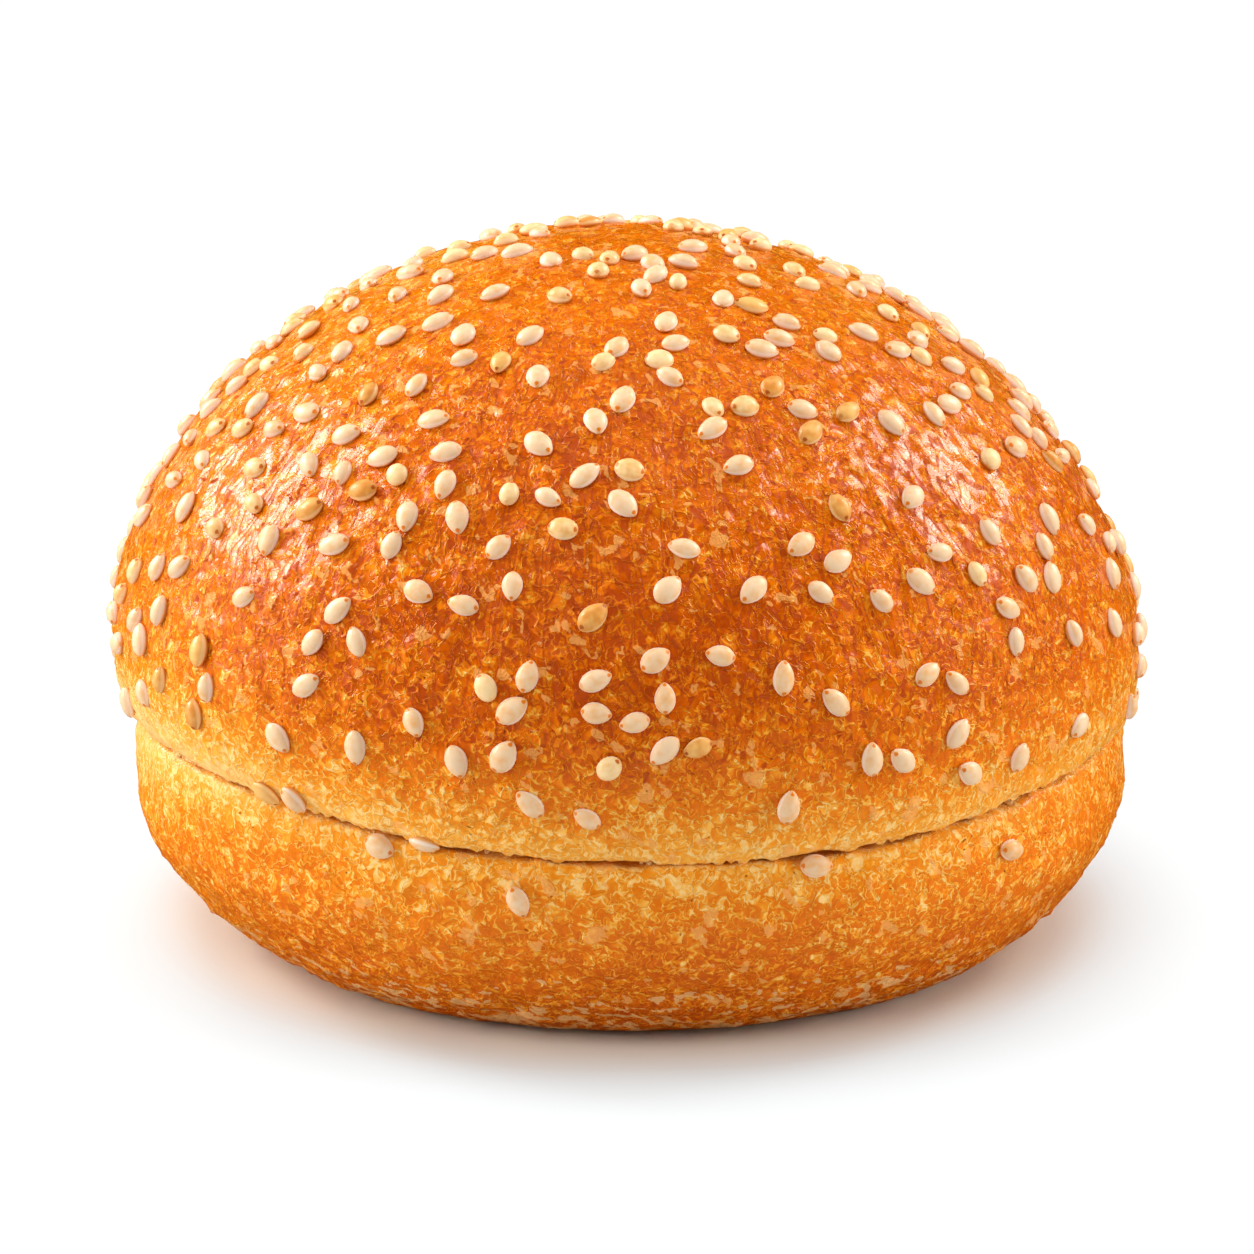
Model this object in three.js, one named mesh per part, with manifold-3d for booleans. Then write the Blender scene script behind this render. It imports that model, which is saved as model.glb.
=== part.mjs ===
// A seeded burger bun: one uncut bread roll with a glazed crown, a waist crease where the crown
// sprang over the heel in the oven, and sesame seeds baked onto it.
// Millimetres and +Z up. The origin is the centre of the flat spot that the bun rests on, and the
// front of the bun faces -Y. Azimuth 0 is the right side, and it turns anticlockwise from above.

import * as THREE from "three";
import Module from "manifold-3d";

const wasm = await Module();
wasm.setup();

const TURN = 2 * Math.PI;
const DEGREE = Math.PI / 180;

// Driving dimensions of the roll
const HEIGHT = 67.5;
const CROWN_RADIUS = 49.8;
const CROWN_WIDEST_Z = 28.8;
const LIP_RADIUS = 47.8;
const LIP_Z = 21.3;
const HEEL_RADIUS = 48.6;
const HEEL_WIDEST_Z = 14.4;
const BASE_RADIUS = 35.8;

// The crease between the crown's lip and the heel
const CREASE_MOUTH = 0.6;
const CREASE_DEPTH = 3.0;
const CREASE_WAVES = [
  { size: 0.32, lobes: 1, phase: -173 * DEGREE },
  { size: 0.27, lobes: 2, phase: 96 * DEGREE },
  { size: 0.75, lobes: 3, phase: -62 * DEGREE },
  { size: 0.61, lobes: 4, phase: 164 * DEGREE },
  { size: 0.43, lobes: 5, phase: -78 * DEGREE },
];
// Places where crumb still joins lip and heel: azimuth, half width, and how far the crease is filled
const CRUMB_BRIDGES = [
  { azimuth: 8 * DEGREE, reach: 6 * DEGREE, fill: 0.6 },
  { azimuth: 62 * DEGREE, reach: 5 * DEGREE, fill: 0.8 },
  { azimuth: 131 * DEGREE, reach: 8 * DEGREE, fill: 0.7 },
  { azimuth: 186 * DEGREE, reach: 9 * DEGREE, fill: 0.75 },
  { azimuth: 210 * DEGREE, reach: 13 * DEGREE, fill: 0.65 },
  { azimuth: 275 * DEGREE, reach: 3 * DEGREE, fill: 0.7 },
  { azimuth: 318 * DEGREE, reach: 9 * DEGREE, fill: 0.45 },
  { azimuth: 338 * DEGREE, reach: 9 * DEGREE, fill: 0.6 },
];

// How full each arc of the section is: 2 is an ellipse, and less is leaner
const CROWN_SIDE_FULLNESS = 1.95;
const CROWN_TOP_FULLNESS = 1.81;
const LIP_FULLNESS = 2.26;
const SHOULDER_FULLNESS = 2.2;
const HEEL_FULLNESS = 1.46;

// Hand-made unevenness: slow swellings of the side, and a slight lean of the upper part
const SWELLINGS = [
  { size: 0.3, lobes: 2, phase: 0.7, climb: 0.03 },
  { size: 0.24, lobes: 3, phase: 2.1, climb: -0.05 },
  { size: 0.2, lobes: 5, phase: 4.0, climb: 0.09 },
  { size: 0.13, lobes: 9, phase: 1.2, climb: -0.16 },
];
const LEAN = 0.7;
const LEAN_CYCLE = 1.3 * Math.PI;

// Rings of the skin, as stations along the section: 0 is the top, 1 the widest ring of the crown,
// 2 the lip, 3 the upper edge of the heel, 4 its widest ring, and 5 the edge of the flat base
const SEGMENTS = 50;
const RINGS_PER_ARC = [12, 3, 3, 2, 6];

// Facets thinner than this are merged
const SMALLEST_FACET = 0.01;

// Sesame seeds, with the largest placed first
const SEED_COUNT = 280;
const SEED_LENGTH = 3.05;
const SEED_WIDTH = 2.05;
const SEED_THICKNESS = 1.0;
const SEED_RISE = 0.22;
const SEED_SIZE_SPREAD = 0.12;
const SEED_GAP = 3.9;
const SEED_GAP_SPREAD = 0.45;
const SEED_RANDOM_START = 20261;
const LOWEST_SEED_Z = 22.0;
const HIGHEST_SEED_Z = 67.3;
const SPARSEST = 0.2;
const DENSITY_CURVE = 0.8;
const DENSE_FROM_Z = 60;
const HEADING_SPREAD = 0.9;
// Seeds that slid down to the crease and the heel: azimuth, station and heading from straight down
const STRAY_SEEDS = [
  { azimuth: 258.5 * DEGREE, station: 3.77, heading: 20 * DEGREE },
  { azimuth: 315.5 * DEGREE, station: 3.75, heading: 75 * DEGREE },
  { azimuth: 290.2 * DEGREE, station: 3.3, heading: 80 * DEGREE },
  { azimuth: 243 * DEGREE, station: 3.32, heading: 70 * DEGREE },
  { azimuth: 248.3 * DEGREE, station: 1.9, heading: 85 * DEGREE },
  { azimuth: 233 * DEGREE, station: 1.58, heading: 30 * DEGREE },
  { azimuth: 229 * DEGREE, station: 1.65, heading: 40 * DEGREE },
  { azimuth: 97 * DEGREE, station: 4.1, heading: 50 * DEGREE },
];

/** A quarter of a superellipse: how far in and how far up at a share of the way round. */
function quarterArc(share, fullnessAcross, fullnessUp) {
  const angle = share * TURN / 4;
  return {
    across: Math.max(Math.cos(angle), 0) ** (2 / fullnessAcross),
    up: Math.sin(angle) ** (2 / fullnessUp),
  };
}

/** The crease's height above its mean at an azimuth. */
function creaseRise(azimuth) {
  return CREASE_WAVES.reduce((sum, w) => sum + w.size * Math.cos(w.lobes * azimuth - w.phase), 0);
}

/** The crease's depth at an azimuth, shallow where crumb bridges it. */
function creaseDepth(azimuth) {
  let fill = 0;
  for (const bridge of CRUMB_BRIDGES) {
    const away = Math.atan2(Math.sin(azimuth - bridge.azimuth), Math.cos(azimuth - bridge.azimuth));
    fill = Math.max(fill, bridge.fill * Math.exp(-((away / bridge.reach) ** 2)));
  }
  return CREASE_DEPTH * (1 - fill);
}

/** Radius and height of the plain section at a station from 0, the top, to 5, the base's edge. */
function sectionPoint(station, azimuth) {
  const lipZ = LIP_Z + creaseRise(azimuth);
  const heelZ = lipZ - CREASE_MOUTH;
  const arc = Math.min(Math.floor(station), 4);
  const share = station - arc;
  if (arc === 0) {
    const { across, up } = quarterArc(1 - share, CROWN_SIDE_FULLNESS, CROWN_TOP_FULLNESS);
    return [CROWN_RADIUS * across, CROWN_WIDEST_Z + (HEIGHT - CROWN_WIDEST_Z) * up];
  }
  if (arc === 1) {
    const { across, up } = quarterArc(share, LIP_FULLNESS, LIP_FULLNESS);
    return [
      LIP_RADIUS + (CROWN_RADIUS - LIP_RADIUS) * across,
      CROWN_WIDEST_Z - (CROWN_WIDEST_Z - lipZ) * up,
    ];
  }
  if (arc === 2) {
    return [LIP_RADIUS - creaseDepth(azimuth) * Math.sin(share * TURN / 2), lipZ - CREASE_MOUTH * share];
  }
  if (arc === 3) {
    const { across, up } = quarterArc(1 - share, SHOULDER_FULLNESS, SHOULDER_FULLNESS);
    return [
      LIP_RADIUS + (HEEL_RADIUS - LIP_RADIUS) * across,
      HEEL_WIDEST_Z + (heelZ - HEEL_WIDEST_Z) * up,
    ];
  }
  const { across, up } = quarterArc(share, HEEL_FULLNESS, HEEL_FULLNESS);
  return [BASE_RADIUS + (HEEL_RADIUS - BASE_RADIUS) * across, HEEL_WIDEST_Z * (1 - up)];
}

/** A point of the crust, with the swellings and the lean. */
function skinPoint(station, azimuth) {
  const [radius, z] = sectionPoint(station, azimuth);
  const swelling = SWELLINGS.reduce(
    (sum, w) => sum + w.size * Math.cos(w.lobes * azimuth + w.phase + w.climb * z), 0);
  const across = radius * (1 + swelling / CROWN_RADIUS);
  const lean = LEAN * (Math.cos(LEAN_CYCLE * z / HEIGHT) - 1);
  return new THREE.Vector3(across * Math.cos(azimuth) + lean, across * Math.sin(azimuth), z);
}

/** The roll without its seeds, as rings of points from the top down to the flat base. */
function breadMesh() {
  const stations = RINGS_PER_ARC.flatMap((rings, arc) =>
    Array.from({ length: rings }, (_, i) => arc + (i + 1) / rings));
  const points = [skinPoint(0, 0)];
  for (const station of stations) {
    for (let i = 0; i < SEGMENTS; i++) {
      points.push(skinPoint(station, i * TURN / SEGMENTS));
    }
  }
  points.push(new THREE.Vector3(0, 0, 0));

  const triangles = [];
  const last = points.length - 1;
  for (let i = 0; i < SEGMENTS; i++) {
    const next = (i + 1) % SEGMENTS;
    triangles.push([0, 1 + i, 1 + next]);
    for (let ring = 0; ring < stations.length - 1; ring++) {
      const upper = 1 + ring * SEGMENTS;
      const lower = upper + SEGMENTS;
      triangles.push([upper + i, lower + i, lower + next], [upper + i, lower + next, upper + next]);
    }
    const rim = 1 + (stations.length - 1) * SEGMENTS;
    triangles.push([rim + i, last, rim + next]);
  }
  return { points, triangles };
}

/** One seed about its own centre: a flat drop, pointed along +X, with a low ridge towards +Z. */
function seedMesh(length, width, thickness) {
  const outline = [
    [1, 0], [0.42, 0.84], [-0.5, 0.9], [-0.94, 0], [-0.5, -0.9], [0.42, -0.84],
  ];
  const ridge = [[0.36, 0], [-0.42, 0]];
  const level = (corners, height) => corners.map(([x, y]) =>
    new THREE.Vector3(x * length / 2, y * width / 2, height));
  const points = [...level(outline, 0), ...level(ridge, thickness / 2), ...level([[0, 0]], -thickness)];
  const [front, back, under] = [outline.length, outline.length + 1, outline.length + 2];
  const triangles = [
    [0, 1, front], [1, 2, front], [2, back, front], [2, 3, back],
    [3, 4, back], [4, front, back], [4, 5, front], [5, 0, front],
  ];
  outline.forEach((_, i) => triangles.push([under, (i + 1) % outline.length, i]));
  return { points, triangles };
}

/** A repeatable stream of numbers from 0 to 1. */
function randomStream(start) {
  let state = start;
  return () => {
    state = (Math.imul(state, 1664525) + 1013904223) >>> 0;
    return state / 2 ** 32;
  };
}

/** The crown's station at a height, which undoes the arcs of the section. */
function stationAtHeight(z) {
  if (z >= CROWN_WIDEST_Z) {
    const up = (z - CROWN_WIDEST_Z) / (HEIGHT - CROWN_WIDEST_Z);
    return 1 - Math.asin(up ** (CROWN_TOP_FULLNESS / 2)) / (TURN / 4);
  }
  const down = (CROWN_WIDEST_Z - z) / (CROWN_WIDEST_Z - LIP_Z);
  return 1 + Math.asin(down ** (LIP_FULLNESS / 2)) / (TURN / 4);
}

/** How thickly seeds lie at a height, from the sparse flank to 1 on the top. */
function seedDensity(z) {
  const rise = Math.min(Math.max((z - LIP_Z) / (DENSE_FROM_Z - LIP_Z), 0), 1);
  return SPARSEST + (1 - SPARSEST) * rise ** DENSITY_CURVE;
}

/** Every seed's place, heading and size: tries at random, kept where the last ones leave room. */
function seedPlaces() {
  const random = randomStream(SEED_RANDOM_START);
  const places = STRAY_SEEDS.map((stray) => ({
    ...stray, size: 1, point: skinPoint(stray.station, stray.azimuth),
  }));
  while (places.length < SEED_COUNT) {
    const z = LOWEST_SEED_Z + (HIGHEST_SEED_Z - LOWEST_SEED_Z) * random();
    const azimuth = TURN * random();
    const chance = random();
    const room = 1 + SEED_GAP_SPREAD * (2 * random() - 1);
    const heading = HEADING_SPREAD * TURN / 2 * (random() - 0.5) + (random() < 0.5 ? 0 : TURN / 2);
    const size = 1 + SEED_SIZE_SPREAD * (random() - 0.25);
    const station = stationAtHeight(z);
    const point = skinPoint(station, azimuth);
    const gap = SEED_GAP * room / Math.sqrt(seedDensity(z));
    if (chance < seedDensity(z) && places.every((p) => p.point.distanceTo(point) > gap)) {
      places.push({ azimuth, station, heading, size, point });
    }
  }
  return places;
}

/** A seed's mesh laid on the crust, with its long side turned by its heading. */
function placedSeed({ azimuth, station, heading, size, point }) {
  const step = 1e-3;
  const down = skinPoint(station + step, azimuth).sub(skinPoint(station - step, azimuth)).normalize();
  const round = skinPoint(station, azimuth + step).sub(skinPoint(station, azimuth - step)).normalize();
  const outward = new THREE.Vector3().crossVectors(down, round).normalize();
  const along = down.clone().applyAxisAngle(outward, heading);
  const aside = new THREE.Vector3().crossVectors(outward, along);
  const place = new THREE.Matrix4().makeBasis(along, aside, outward)
    .setPosition(point.clone().addScaledVector(outward, SEED_RISE));
  const { points, triangles } = seedMesh(SEED_LENGTH * size, SEED_WIDTH * size, SEED_THICKNESS);
  return { points: points.map((p) => p.applyMatrix4(place)), triangles };
}

/** A closed mesh as a solid that can be joined to others. */
function solidOf({ points, triangles }) {
  return new wasm.Manifold(new wasm.Mesh({
    numProp: 3,
    vertProperties: Float32Array.from(points.flatMap((p) => p.toArray())),
    triVerts: Uint32Array.from(triangles.flat()),
  }));
}

/** A solid's triangles as a three.js geometry. */
function geometryOf(solid) {
  const { vertProperties, triVerts } = solid.getMesh();
  const geometry = new THREE.BufferGeometry();
  geometry.setAttribute("position", new THREE.BufferAttribute(vertProperties, 3));
  geometry.setIndex(new THREE.BufferAttribute(triVerts, 1));
  geometry.computeVertexNormals();
  return geometry;
}

const bread = solidOf(breadMesh());
const seeds = seedPlaces().map((place) => solidOf(placedSeed(place)));
const seededBread = wasm.Manifold.union([bread, ...seeds]).simplify(SMALLEST_FACET);

const crust = new THREE.MeshStandardMaterial({ color: 0xc9661c, roughness: 0.42, metalness: 0 });
const bun = new THREE.Mesh(geometryOf(seededBread), crust);
bun.name = "bun";

const group = new THREE.Group();
group.add(bun);

export default group;
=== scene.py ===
"""The looks of one seeded burger bun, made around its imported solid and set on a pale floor."""

import logging
import math
from dataclasses import dataclass
from enum import Enum
from typing import Iterator, Mapping, Sequence, Union

import bmesh
import bpy
import numpy as np
from mathutils import Matrix, Vector


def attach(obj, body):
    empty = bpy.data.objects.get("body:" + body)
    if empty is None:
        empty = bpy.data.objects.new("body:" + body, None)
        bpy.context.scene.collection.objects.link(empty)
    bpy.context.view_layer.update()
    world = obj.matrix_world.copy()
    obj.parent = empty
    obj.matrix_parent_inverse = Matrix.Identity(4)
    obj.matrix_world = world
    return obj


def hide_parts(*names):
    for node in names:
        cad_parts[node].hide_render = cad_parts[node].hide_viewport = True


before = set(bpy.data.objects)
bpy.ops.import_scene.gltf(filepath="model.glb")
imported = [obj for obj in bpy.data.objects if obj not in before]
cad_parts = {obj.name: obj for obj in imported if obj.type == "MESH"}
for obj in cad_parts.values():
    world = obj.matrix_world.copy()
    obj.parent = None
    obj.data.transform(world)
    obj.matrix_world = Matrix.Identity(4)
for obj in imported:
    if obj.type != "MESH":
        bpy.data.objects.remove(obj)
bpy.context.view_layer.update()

BUN_NODE = "bun"
BODY = "root"
MM = 0.001
TURN = 2 * math.pi
DEGREE = math.pi / 180
MIDDLE = 0.5
WHITE = (1.0, 1.0, 1.0, 1.0)
BLACK = (0.0, 0.0, 0.0, 1.0)

log = logging.getLogger("bun")


# Node trees, written as expressions

Colour = tuple[float, float, float, float]
Triple = tuple[float, float, float]
Operand = Union["Signal", float, Triple]
Span = tuple[float, float]


def srgb(red: float, green: float, blue: float) -> Colour:
    """A colour given in screen values, as linear light.

    Args:
        red: Red, 0 to 255.
        green: Green, 0 to 255.
        blue: Blue, 0 to 255.

    Returns:
        Linear red, green and blue, and an alpha of 1.
    """
    def linear(value: float) -> float:
        """One channel in linear light."""
        share = value / 255
        return share / 12.92 if share <= 0.04045 else ((share + 0.055) / 1.055) ** 2.4

    return (linear(red), linear(green), linear(blue), 1.0)


class Signal:
    """One output of a node tree: arithmetic on it adds Math or Vector Math nodes."""

    def __init__(self, nodes: "Nodes", socket: bpy.types.NodeSocket) -> None:
        """Wraps a socket.

        Args:
            nodes: The tree that the socket is in.
            socket: The output socket.
        """
        self.nodes = nodes
        self.socket = socket

    def _join(self, operation: str, first: Operand, second: Operand) -> "Signal":
        """Adds the node for one operation on two values.

        Args:
            operation: The operation's name in a Math node.
            first: The left value.
            second: The right value.

        Returns:
            The result.
        """
        pair = (first, second)
        kind = "ShaderNodeMath"
        if any(isinstance(side, Signal) and side.socket.type in ("VECTOR", "RGBA") for side in pair):
            kind = "ShaderNodeVectorMath"
            pair = tuple(side if isinstance(side, (Signal, tuple)) else (side, side, side) for side in pair)
        return self.nodes.add(kind, {"operation": operation}, dict(enumerate(pair)))

    def __add__(self, other: Operand) -> "Signal":
        """This plus another value."""
        return self._join("ADD", self, other)

    def __radd__(self, other: Operand) -> "Signal":
        """Another value plus this."""
        return self._join("ADD", other, self)

    def __sub__(self, other: Operand) -> "Signal":
        """This less another value."""
        return self._join("SUBTRACT", self, other)

    def __rsub__(self, other: Operand) -> "Signal":
        """Another value less this."""
        return self._join("SUBTRACT", other, self)

    def __mul__(self, other: Operand) -> "Signal":
        """This times another value."""
        return self._join("MULTIPLY", self, other)

    def __rmul__(self, other: Operand) -> "Signal":
        """Another value times this."""
        return self._join("MULTIPLY", other, self)

    def __pow__(self, other: Operand) -> "Signal":
        """This to a power."""
        return self._join("POWER", self, other)

    def __abs__(self) -> "Signal":
        """This without its sign."""
        return self.nodes.add("ShaderNodeMath", {"operation": "ABSOLUTE"}, {0: self})

    def fraction(self) -> "Signal":
        """What is left above the whole number below."""
        return self.nodes.add("ShaderNodeMath", {"operation": "FRACT"}, {0: self})

    def larger(self, other: Operand) -> "Signal":
        """The larger of this and another value."""
        return self._join("MAXIMUM", self, other)

    def step(self, low: float, high: float) -> "Signal":
        """A smooth step from 0 to 1.

        Args:
            low: The value where the step is 0.
            high: The value where the step is 1, which may be the smaller of the two.

        Returns:
            The step.
        """
        settings = {"interpolation_type": "SMOOTHSTEP"}
        inputs = {"Value": self, "From Min": low, "From Max": high}
        return self.nodes.add("ShaderNodeMapRange", settings, inputs)


class Nodes:
    """Adds nodes to a shader or geometry tree and hands back their outputs."""

    def __init__(self, tree: bpy.types.NodeTree) -> None:
        """Wraps a tree.

        Args:
            tree: The tree that nodes are added to.
        """
        self.tree = tree

    def place(self, kind: str, settings: Mapping[str, object], inputs: Mapping) -> bpy.types.Node:
        """Adds one node.

        Args:
            kind: The node's type.
            settings: Its settings, set first; "stops" are a ramp's places and colours.
            inputs: Values or signals for its sockets, by name or number.

        Returns:
            The node.
        """
        node = self.tree.nodes.new(kind)
        for name, value in settings.items():
            if name == "stops":
                self._set_stops(node.color_ramp, value)
            else:
                setattr(node, name, value)
        for key, value in inputs.items():
            if isinstance(value, Signal):
                self.tree.links.new(value.socket, node.inputs[key])
            else:
                node.inputs[key].default_value = value
        return node

    def add(self, kind: str, settings: Mapping[str, object], inputs: Mapping,
            output: Union[int, str] = 0) -> Signal:
        """Adds one node and hands back one of its outputs.

        Args:
            kind: The node's type.
            settings: Its settings.
            inputs: Values or signals for its sockets.
            output: The output wanted, by name or number.

        Returns:
            That output.
        """
        return Signal(self, self.place(kind, settings, inputs).outputs[output])

    @staticmethod
    def _set_stops(ramp: bpy.types.ColorRamp, stops: Sequence[tuple[float, Colour]]) -> None:
        """Gives a colour ramp its stops.

        Args:
            ramp: The ramp, with its two first elements.
            stops: Places from 0 to 1, and colours.
        """
        for _ in stops[2:]:
            ramp.elements.new(MIDDLE)
        for element, (place, colour) in zip(ramp.elements, stops):
            element.position = place
            element.color = colour

    def noise(self, place: Signal, per_mm: float, detail: float = 2.0, twist: float = 0.0) -> Signal:
        """Soft noise about the middle of its range.

        Args:
            place: Where it is read, in millimetres.
            per_mm: How many features a millimetre holds.
            detail: How many finer layers it has.
            twist: How far it is bent by more noise.

        Returns:
            The noise, from 0 to 1.
        """
        inputs = {"Vector": place, "Scale": per_mm, "Detail": detail, "Distortion": twist}
        return self.add("ShaderNodeTexNoise", {}, inputs)

    def thread(self, place: Signal, per_mm: float, width: float) -> Signal:
        """Thin winding lines, where soft noise passes its middle.

        Args:
            place: Where they are read, in millimetres.
            per_mm: How many features a millimetre holds.
            width: How wide the lines are, as a share of the noise's range.

        Returns:
            1 on a line, falling smoothly to 0 beside it.
        """
        return abs(self.noise(place, per_mm, 1.0) - MIDDLE).step(width, 0.0)

    def cells(self, place: Signal, per_mm: float) -> tuple[Signal, Signal, Signal]:
        """Scattered cells.

        Args:
            place: Where they are read, in millimetres.
            per_mm: How many cells a millimetre holds.

        Returns:
            The distance to the nearest cell's point in cell widths, a random number of that cell, and
            the height on that cell's own slope, from about -0.6 to 0.6.
        """
        node = self.place("ShaderNodeTexVoronoi", {}, {"Vector": place, "Scale": per_mm})
        own = Signal(self, node.outputs["Color"])
        away = (place - Signal(self, node.outputs["Position"])) * per_mm
        dot = {"operation": "DOT_PRODUCT"}
        slope = self.add("ShaderNodeVectorMath", dot, {0: away, 1: own * 2 - 1}, "Value")
        draw = self.add("ShaderNodeSeparateXYZ", {}, {0: own})
        return Signal(self, node.outputs["Distance"]), draw, slope

    def warp(self, place: Signal, per_mm: float, reach: float) -> Signal:
        """Places moved about by soft noise.

        Args:
            place: The places, in millimetres.
            per_mm: How many bends a millimetre holds.
            reach: How far they move, in millimetres.

        Returns:
            The moved places.
        """
        inputs = {"Vector": place, "Scale": per_mm, "Detail": 1.0}
        return place + (self.add("ShaderNodeTexNoise", {}, inputs, "Color") - MIDDLE) * reach

    def mix(self, share: Operand, first: object, second: object) -> Signal:
        """Mixes two colours.

        Args:
            share: How much of the second is used, from 0 to 1.
            first: A colour or a signal.
            second: A colour or a signal.

        Returns:
            The mixed colour.
        """
        return self.add("ShaderNodeMix", {"data_type": "RGBA"}, {0: share, 6: first, 7: second}, 2)


class ShaderNodes(Nodes):
    """The node tree of a new material."""

    def __init__(self, name: str) -> None:
        """Starts an empty material.

        Args:
            name: The material's name.
        """
        self.material = bpy.data.materials.new(name)
        self.material.use_nodes = True
        super().__init__(self.material.node_tree)
        self.tree.nodes.clear()

    def attribute(self, name: str, output: str = "Fac") -> Signal:
        """Reads one of the mesh's own attributes.

        Args:
            name: The attribute's name.
            output: "Fac" for a number, or "Vector".

        Returns:
            The attribute.
        """
        return self.add("ShaderNodeAttribute", {"attribute_name": name}, {}, output)

    def bump(self, height: Signal) -> Signal:
        """A normal that follows a height in millimetres."""
        return self.add("ShaderNodeBump", {}, {"Strength": 1.0, "Distance": MM, "Height": height})

    def surface(self, inputs: Mapping[str, object]) -> bpy.types.Material:
        """Ends the tree in a surface shader.

        Args:
            inputs: Values or signals for the shader's sockets.

        Returns:
            The finished material.
        """
        self.material.cycles.emission_sampling = "NONE"
        shader = self.add("ShaderNodeBsdfPrincipled", {}, inputs)
        self.place("ShaderNodeOutputMaterial", {}, {"Surface": shader})
        return self.material


class ShapeNodes(Nodes):
    """A geometry tree with named inputs, run once on a mesh."""

    def __init__(self, name: str) -> None:
        """Starts a tree that takes and gives geometry.

        Args:
            name: The tree's name.
        """
        super().__init__(bpy.data.node_groups.new(name, "GeometryNodeTree"))
        self.entry = self.place("NodeGroupInput", {}, {})
        self.values: dict[str, object] = {}
        self.tree.interface.new_socket("Geometry", in_out="OUTPUT", socket_type="NodeSocketGeometry")
        self.geometry = self.input("Geometry", "NodeSocketGeometry", None)

    def input(self, name: str, kind: str, value: object) -> Signal:
        """Adds a named input.

        Args:
            name: The input's name.
            kind: The socket's type.
            value: What it is set to when the tree runs, or None for the geometry.

        Returns:
            The input, to be used in the tree.
        """
        socket = self.tree.interface.new_socket(name, in_out="INPUT", socket_type=kind)
        if value is not None:
            self.values[socket.identifier] = value
        return Signal(self, self.entry.outputs[name])

    def size(self, name: str, value: float) -> Signal:
        """Adds a named number as an input."""
        return self.input(name, "NodeSocketFloat", value)

    def stored(self, name: str, kind: str = "FLOAT") -> Signal:
        """Reads an attribute of the geometry."""
        return self.add("GeometryNodeInputNamedAttribute", {"data_type": kind}, {"Name": name})

    def store(self, geometry: Signal, name: str, value: Signal) -> Signal:
        """Stores a number on every point.

        Args:
            geometry: The geometry.
            name: The attribute's name.
            value: Its value at each point.

        Returns:
            The geometry with the attribute.
        """
        settings = {"data_type": "FLOAT", "domain": "POINT"}
        inputs = {"Geometry": geometry, "Name": name, "Value": value}
        return self.add("GeometryNodeStoreNamedAttribute", settings, inputs)

    def scatter(self, shape: Signal) -> Signal:
        """Lays a smooth shape on every point, by the points' own turns and sizes.

        Args:
            shape: The shape's geometry.

        Returns:
            The laid shapes.
        """
        return self.add("GeometryNodeInstanceOnPoints", {}, {
            "Points": self.geometry,
            "Instance": self.add("GeometryNodeSetShadeSmooth", {}, {"Geometry": shape}),
            "Rotation": self.stored("turn", "FLOAT_VECTOR"),
            "Scale": self.stored("size", "FLOAT_VECTOR"),
        })

    def vector(self, x: Operand, y: Operand, z: Operand) -> Signal:
        """Joins three numbers into a vector."""
        return self.add("ShaderNodeCombineXYZ", {}, {0: x, 1: y, 2: z})

    def split(self, vector: Signal) -> tuple[Signal, Signal, Signal]:
        """A vector's three numbers."""
        node = self.place("ShaderNodeSeparateXYZ", {}, {0: vector})
        return tuple(Signal(self, output) for output in node.outputs)

    def run(self, name: str, mesh: bpy.types.Mesh, geometry: Signal,
            material: bpy.types.Material) -> bpy.types.Object:
        """Ends the tree, runs it on a mesh and keeps the result as a plain mesh.

        Args:
            name: The new object's name.
            mesh: The mesh that the tree starts from.
            geometry: What the tree makes.
            material: The finish that the result is given.

        Returns:
            An object at the origin without modifiers.
        """
        finish = self.input("Finish", "NodeSocketMaterial", material)
        real = self.add("GeometryNodeRealizeInstances", {}, {"Geometry": geometry})
        dressed = self.add("GeometryNodeSetMaterial", {}, {"Geometry": real, "Material": finish})
        self.place("NodeGroupOutput", {}, {"Geometry": dressed})
        piece = bpy.data.objects.new(name, mesh)
        bpy.context.scene.collection.objects.link(piece)
        modifier = piece.modifiers.new(name, "NODES")
        modifier.node_group = self.tree
        for identifier, value in self.values.items():
            modifier[identifier] = value
        depsgraph = bpy.context.evaluated_depsgraph_get()
        made = bpy.data.meshes.new_from_object(piece.evaluated_get(depsgraph), depsgraph=depsgraph)
        piece.modifiers.clear()
        piece.data = made
        return piece


def plain_mesh(name: str, points: np.ndarray, faces: Sequence[Sequence[int]] = (),
               **attributes: np.ndarray) -> bpy.types.Mesh:
    """A smooth mesh with attributes.

    Args:
        name: The mesh's name.
        points: Its points in millimetres.
        faces: Corners of each face.
        **attributes: Numbers or vectors for each point, by name.

    Returns:
        The mesh, in metres.
    """
    mesh = bpy.data.meshes.new(name)
    mesh.from_pydata(points * MM, [], faces)
    mesh.shade_smooth()
    for key, values in attributes.items():
        vector = values.ndim == 2
        layer = mesh.attributes.new(key, "FLOAT_VECTOR" if vector else "FLOAT", "POINT")
        layer.data.foreach_set("vector" if vector else "value", values.astype(np.float32).ravel())
    return mesh


def hand_over(piece: bpy.types.Object) -> None:
    """Puts a piece in the place of the solid.

    Args:
        piece: The finished piece.
    """
    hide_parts(BUN_NODE)
    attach(piece, BODY)
    log.info("%s: %d faces", piece.name, len(piece.data.polygons))


# The bun's form

@dataclass(frozen=True)
class Wave:
    """A slow wave round the bun: its size in mm, its lobes, its phase, and its turn for each mm up."""

    size: float
    lobes: int
    phase: float
    climb: float = 0.0


@dataclass(frozen=True)
class CrumbBridge:
    """A place where crumb joins lip and heel: its azimuth, half width, and how far it fills the crease."""

    azimuth: float
    reach: float
    fill: float


# Stations run down the section: 0 is the top, and the others are named here

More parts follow.
